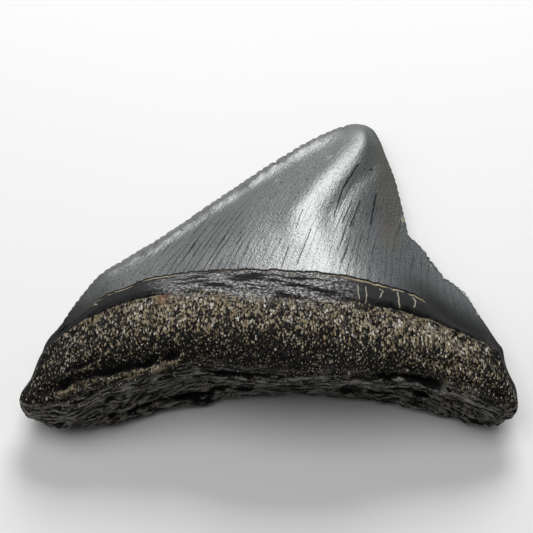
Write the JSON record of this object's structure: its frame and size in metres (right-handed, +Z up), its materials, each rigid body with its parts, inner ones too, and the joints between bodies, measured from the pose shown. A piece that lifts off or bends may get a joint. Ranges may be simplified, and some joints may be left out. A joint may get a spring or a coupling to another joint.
{
  "type": "fossil megalodon tooth",
  "caption": "Fossil shark tooth with a broad two-lobed porous root, a dark collar and a grey serrated crown that leans to one side, lying on its flat side.",
  "frame": {"origin": "under the middle of the tooth's bounding box, on the surface that it lies on", "axes": "+X along the root, towards its right end as seen with the tip away; +Y from the root towards the tip of the crown; +Z up, out of the tongue side"},
  "size_m": [0.0732, 0.0536, 0.0165],
  "materials": {
    "fossil": "fossil tooth: glossy grey enamel, black collar, porous black root with tan sediment in its pores"
  },
  "bodies": {
    "root": {"tooth": "fossil"}
  },
  "joints": []
}
